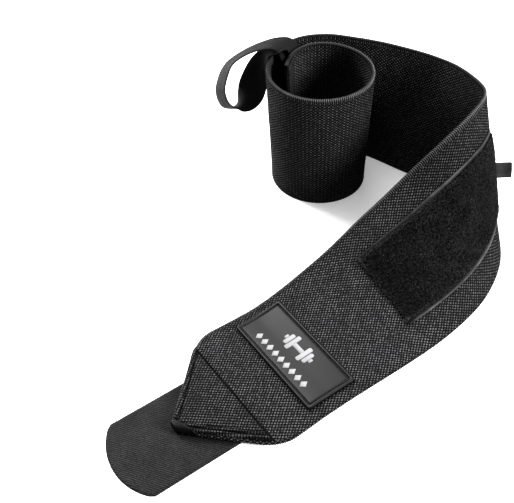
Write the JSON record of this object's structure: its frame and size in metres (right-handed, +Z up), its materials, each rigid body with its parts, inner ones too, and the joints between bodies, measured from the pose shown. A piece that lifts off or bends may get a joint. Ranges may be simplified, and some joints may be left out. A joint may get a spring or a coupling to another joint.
{
  "type": "wrist wrap",
  "caption": "One elastic wrist wrap with a thumb loop, a pointed end with a hook tongue, a rubber plate and a loop strip, lying half unrolled.",
  "frame": {"origin": "middle of the box round the whole wrap, at the table it lies on", "axes": "+Z up from the table; the pointed end is towards -X and -Y, the upright roll towards +Y, and the bend between them towards +X"},
  "size_m": [0.2368, 0.2622, 0.0864],
  "materials": {
    "elastic_band": "coarse basket weave, matte",
    "end_flap": "coarse basket weave, matte",
    "hook_tab": "fine twill, semi-matte",
    "label_plate": "satin moulded rubber",
    "loop_patch": "brushed loop pile, matte",
    "inner_hem": "fuzzy tape, matte",
    "thumb_loop": "smooth elastic tape, semi-matte",
    "size_tag": "satin ribbon"
  },
  "bodies": {
    "root": {"elastic_band": "elastic_band", "end_flap": "end_flap", "hook_tab": "hook_tab", "label_plate": "label_plate", "loop_patch": "loop_patch", "inner_hem": "inner_hem", "thumb_loop": "thumb_loop", "size_tag": "size_tag"}
  },
  "joints": []
}
